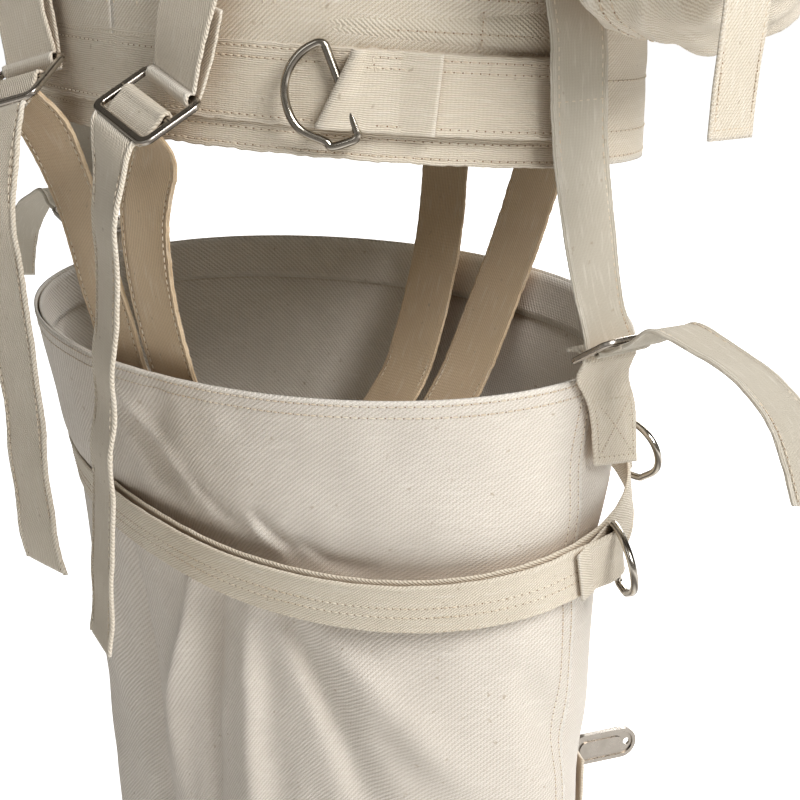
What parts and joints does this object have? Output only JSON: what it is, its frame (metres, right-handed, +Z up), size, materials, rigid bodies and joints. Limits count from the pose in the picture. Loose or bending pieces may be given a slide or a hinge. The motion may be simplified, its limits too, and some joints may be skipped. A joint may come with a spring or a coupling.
{
  "type": "safety harness vest",
  "caption": "Canvas safety harness suit: vest with closed crossed sleeves, belt with tie-down rings, and a leg sleeve hung on side straps, held by crotch straps.",
  "frame": {"origin": "on the floor, under the middle of the suit's bounding box", "axes": "+Z up; the wearer faces -Y; +X is the wearer's left"},
  "size_m": [0.637, 0.4227, 1.1424],
  "materials": {
    "canvas": "cotton duck, undyed",
    "webbing": "heavy cotton webbing",
    "nickel": "nickel plate"
  },
  "bodies": {
    "suit": {"casing_left": "canvas", "casing_right": "canvas", "closure_strap_lower": "webbing", "closure_strap_upper": "webbing", "collar": "canvas", "crotch_strap_left": "webbing", "crotch_strap_right": "webbing", "hanger_left": "webbing", "hanger_right": "webbing", "hip_belt": "webbing", "hip_strap_front": "webbing", "hip_strap_rear": "webbing", "leg_bottom_hem": "canvas", "leg_sleeve_back": "canvas", "leg_sleeve_front": "canvas", "leg_top_facing": "canvas", "lock_base": "nickel", "lock_pin": "nickel", "lock_rivets": "nickel", "side_strap_left": "webbing", "side_strap_right": "webbing", "side_tab_left": "canvas", "side_tab_right": "canvas", "sleeve_left": "canvas", "sleeve_right": "canvas", "sleeve_strap_left": "webbing", "sleeve_strap_right": "webbing", "thigh_strap": "webbing", "vest_back_panel_left": "canvas", "vest_back_panel_right": "canvas", "vest_front_panel": "canvas", "waist_belt": "webbing", "waist_hem_band": "webbing", "waist_ring_strap_left": "webbing", "waist_ring_strap_right": "webbing"},
    "waist_ring_right": {"waist_d_ring_right": "nickel"},
    "waist_ring_left": {"waist_d_ring_left": "nickel"},
    "hip_ring_right": {"hip_d_ring_right": "nickel"},
    "hip_ring_left": {"hip_d_ring_left": "nickel"},
    "front_ring_right": {"front_d_ring_right": "nickel"},
    "front_ring_left": {"front_d_ring_left": "nickel"},
    "side_buckle_right": {"side_buckle_right": "nickel", "side_loop_right": "webbing"},
    "side_tail_right": {"side_tail_right": "webbing"},
    "crotch_buckle_right": {"crotch_buckle_right": "nickel", "crotch_loop_right": "webbing"},
    "crotch_tail_right": {"crotch_tail_right": "webbing"},
    "arm_tail_right": {"arm_tail_right": "webbing"},
    "side_buckle_left": {"side_buckle_left": "nickel", "side_loop_left": "webbing"},
    "side_tail_left": {"side_tail_left": "webbing"},
    "crotch_buckle_left": {"crotch_buckle_left": "nickel", "crotch_loop_left": "webbing"},
    "crotch_tail_left": {"crotch_tail_left": "webbing"},
    "arm_tail_left": {"arm_tail_left": "webbing"},
    "closure_upper": {"closure_buckle_upper": "nickel"},
    "closure_lower": {"closure_buckle_lower": "nickel"},
    "lock": {"lock_plate": "nickel"}
  },
  "joints": [
    {"name": "waist_ring_right_turn", "type": "hinge", "parent": "suit", "child": "waist_ring_right", "pos_m": [-0.12739, 0.12527, 0.64017], "axis": [0.3405, 0.1534, 0.9277], "range_deg": [-3, 140]},
    {"name": "waist_ring_left_turn", "type": "hinge", "parent": "suit", "child": "waist_ring_left", "pos_m": [0.12739, 0.12527, 0.64017], "axis": [0.3405, -0.1534, -0.9277], "range_deg": [-3, 140]},
    {"name": "hip_ring_right_turn", "type": "hinge", "parent": "suit", "child": "hip_ring_right", "pos_m": [-0.19876, 0.00085, 0.40137], "axis": [0.0423, -0.2417, -0.9694], "range_deg": [-120, 8]},
    {"name": "hip_ring_left_turn", "type": "hinge", "parent": "suit", "child": "hip_ring_left", "pos_m": [0.19319, 0.00085, 0.41849], "axis": [-0.0423, 0.2417, 0.9694], "range_deg": [-120, 8]},
    {"name": "front_ring_right_turn", "type": "hinge", "parent": "suit", "child": "front_ring_right", "pos_m": [-0.13843, -0.08238, 0.42476], "axis": [-0.0423, 0.2417, 0.9694], "range_deg": [-22, 100]},
    {"name": "front_ring_left_turn", "type": "hinge", "parent": "suit", "child": "front_ring_left", "pos_m": [0.13106, -0.08238, 0.43652], "axis": [0.0423, -0.2417, -0.9694], "range_deg": [-22, 100]},
    {"name": "side_buckle_right_turn", "type": "hinge", "parent": "suit", "child": "side_buckle_right", "pos_m": [-0.19934, 0.01896, 0.50987], "axis": [-0.16, -0.9871, 0], "range_deg": [-10, 10]},
    {"name": "side_tail_right_turn", "type": "hinge", "parent": "side_buckle_right", "child": "side_tail_right", "pos_m": [-0.22822, 0.02364, 0.52333], "axis": [-0.16, -0.9871, 0], "range_deg": [-15, 30]},
    {"name": "crotch_buckle_right_turn", "type": "hinge", "parent": "suit", "child": "crotch_buckle_right", "pos_m": [-0.05618, 0.16342, 0.63857], "axis": [-0.9541, 0.145, -0.262], "range_deg": [-6, 4]},
    {"name": "crotch_tail_right_turn", "type": "hinge", "parent": "crotch_buckle_right", "child": "crotch_tail_right", "pos_m": [-0.04733, 0.18771, 0.61979], "axis": [-0.9541, 0.145, -0.262], "range_deg": [-25, 2]},
    {"name": "arm_tail_right_turn", "type": "hinge", "parent": "suit", "child": "arm_tail_right", "pos_m": [-0.3048, 0.06685, 0.828], "axis": [0.158, 0.9874, 0], "range_deg": [0, 50]},
    {"name": "side_buckle_left_turn", "type": "hinge", "parent": "suit", "child": "side_buckle_left", "pos_m": [0.19934, 0.01896, 0.50987], "axis": [-0.16, 0.9871, 0], "range_deg": [-10, 10]},
    {"name": "side_tail_left_turn", "type": "hinge", "parent": "side_buckle_left", "child": "side_tail_left", "pos_m": [0.22822, 0.02364, 0.52333], "axis": [-0.16, 0.9871, 0], "range_deg": [-15, 30]},
    {"name": "crotch_buckle_left_turn", "type": "hinge", "parent": "suit", "child": "crotch_buckle_left", "pos_m": [0.05618, 0.16342, 0.63857], "axis": [-0.9541, -0.145, 0.262], "range_deg": [-6, 4]},
    {"name": "crotch_tail_left_turn", "type": "hinge", "parent": "crotch_buckle_left", "child": "crotch_tail_left", "pos_m": [0.04733, 0.18771, 0.61979], "axis": [-0.9541, -0.145, 0.262], "range_deg": [-25, 2]},
    {"name": "arm_tail_left_turn", "type": "hinge", "parent": "suit", "child": "arm_tail_left", "pos_m": [0.3048, 0.06685, 0.828], "axis": [0.158, -0.9874, 0], "range_deg": [0, 50]},
    {"name": "closure_upper_turn", "type": "hinge", "parent": "suit", "child": "closure_upper", "pos_m": [0, 0.14297, 0.97], "axis": [0, 0, 1], "range_deg": [-6, 6]},
    {"name": "closure_lower_turn", "type": "hinge", "parent": "suit", "child": "closure_lower", "pos_m": [0, 0.1472, 0.883], "axis": [0, 0, 1], "range_deg": [-6, 6]},
    {"name": "lock_turn", "type": "hinge", "parent": "suit", "child": "lock", "pos_m": [-0.12035, -0.06663, 0.22975], "axis": [0, 0, 1], "range_deg": [-75, 75]}
  ]
}
